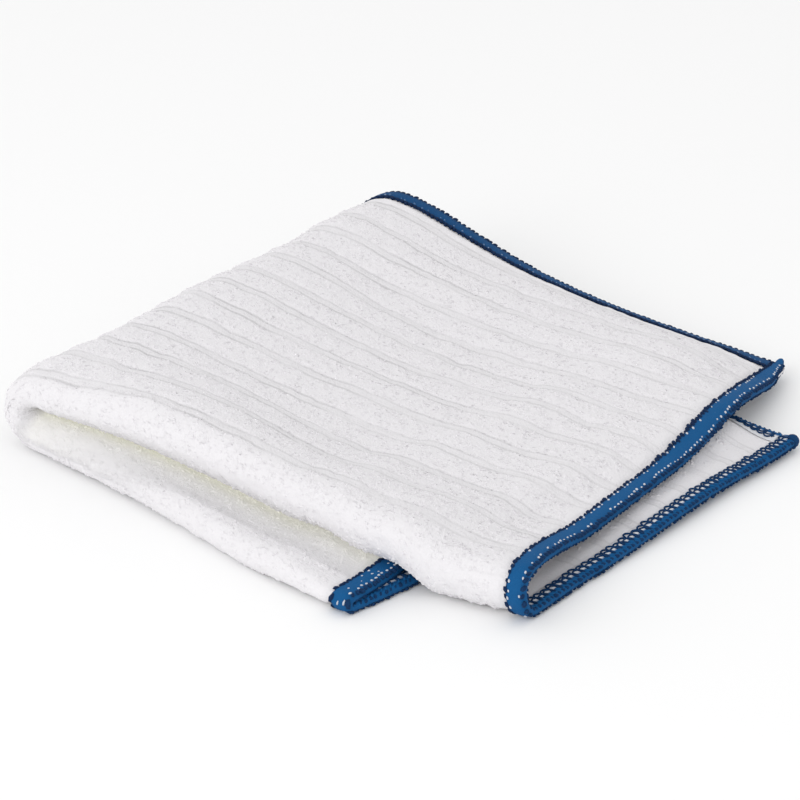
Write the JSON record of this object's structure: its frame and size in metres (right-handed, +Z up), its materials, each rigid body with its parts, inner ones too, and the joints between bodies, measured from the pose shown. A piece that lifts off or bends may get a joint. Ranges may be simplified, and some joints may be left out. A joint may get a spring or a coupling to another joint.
{
  "type": "folded microfiber cleaning cloth",
  "caption": "Thick ribbed microfiber cleaning cloth with an overlocked edge, folded in four and lying flat with loose rounded folds.",
  "frame": {"origin": "centre of the folded cloth's outline seen from above, on the surface that it lies on", "axes": "+X along the front fold to the open corner, +Y away from the front fold, +Z up"},
  "size_m": [0.1946, 0.2008, 0.0356],
  "materials": {
    "cloth": "soft white ribbed microfiber pile",
    "thread": "blue overlock thread, matt with a slight sheen"
  },
  "bodies": {
    "root": {"cloth": "cloth", "seam_right": "thread", "seam_inner": "thread", "seam_back": "thread", "seam_under": "thread"}
  },
  "joints": []
}
